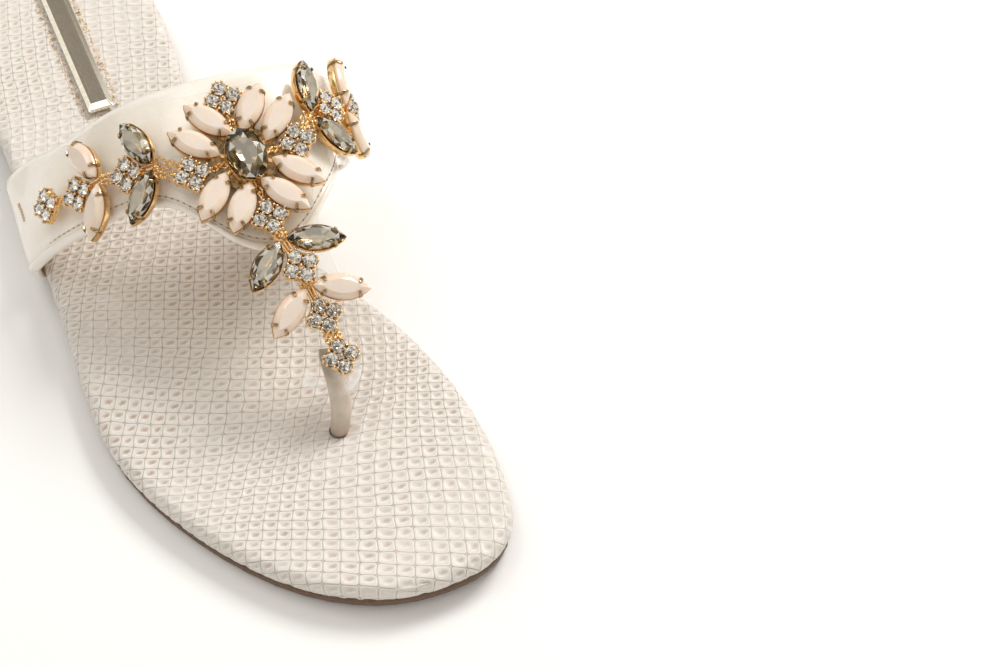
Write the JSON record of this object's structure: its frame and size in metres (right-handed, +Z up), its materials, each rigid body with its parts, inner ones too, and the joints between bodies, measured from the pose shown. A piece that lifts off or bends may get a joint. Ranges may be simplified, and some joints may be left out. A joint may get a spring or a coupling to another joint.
{
  "type": "thong sandal",
  "caption": "Flat T-strap thong sandal for the right foot: scale-embossed wrapped footbed, glossy instep strap with a clear T band, toe post and jewelled ornament.",
  "frame": {"origin": "middle of the heel's flat tread, on the floor", "axes": "+Y runs from toe to heel along the sole, +Z up, +X towards the big-toe side"},
  "size_m": [0.0939, 0.2448, 0.0578],
  "materials": {
    "outsole_rubber": "matt taupe-brown rubber sheet",
    "scale_leather": "cream leather embossed with small reptile-like scales",
    "patent_leather": "glossy ivory leather with a rolled front edge",
    "post_leather": "smooth cream leather",
    "clear_vinyl": "clear glossy vinyl",
    "gold_metal": "polished gold-tone plating",
    "plate_metal": "pale gold-tone plate, bevelled, brushed",
    "pink_opal": "milky pale pink opal, facetted",
    "smoke_crystal": "smoky olive-brown foiled crystal, facetted",
    "clear_crystal": "clear foiled brilliants in gold cups"
  },
  "bodies": {
    "root": {"outsole": "outsole_rubber", "footbed": "scale_leather", "strap": "patent_leather", "clear_band": "clear_vinyl", "toe_post": "post_leather", "name_plate": "plate_metal", "flower_back": "gold_metal", "left_smoke_back": "gold_metal", "left_pink_back": "gold_metal", "left_end_back": "gold_metal", "right_smoke_back": "gold_metal", "right_pink_back": "gold_metal", "right_end_back": "gold_metal", "stem_smoke_back": "gold_metal", "stem_pink_back": "gold_metal", "stem_end_back": "gold_metal", "petal_1": "pink_opal", "petal_2": "pink_opal", "petal_3": "pink_opal", "petal_4": "pink_opal", "petal_5": "pink_opal", "petal_6": "pink_opal", "petal_7": "pink_opal", "petal_8": "pink_opal", "left_pink_a": "pink_opal", "left_pink_b": "pink_opal", "right_pink_a": "pink_opal", "right_pink_b": "pink_opal", "stem_pink_a": "pink_opal", "stem_pink_b": "pink_opal", "flower_stone": "smoke_crystal", "left_smoke_a": "smoke_crystal", "left_smoke_b": "smoke_crystal", "right_smoke_a": "smoke_crystal", "right_smoke_b": "smoke_crystal", "stem_smoke_a": "smoke_crystal", "stem_smoke_b": "smoke_crystal", "flower_square_1": "clear_crystal", "flower_square_2": "clear_crystal", "flower_square_3": "clear_crystal", "flower_square_4": "clear_crystal", "left_smoke_square": "clear_crystal", "left_pink_square": "clear_crystal", "left_end_square": "clear_crystal", "right_smoke_square": "clear_crystal", "right_pink_square": "clear_crystal", "right_end_square": "clear_crystal", "stem_smoke_square": "clear_crystal", "stem_pink_square": "clear_crystal", "stem_end_square": "clear_crystal"}
  },
  "joints": []
}
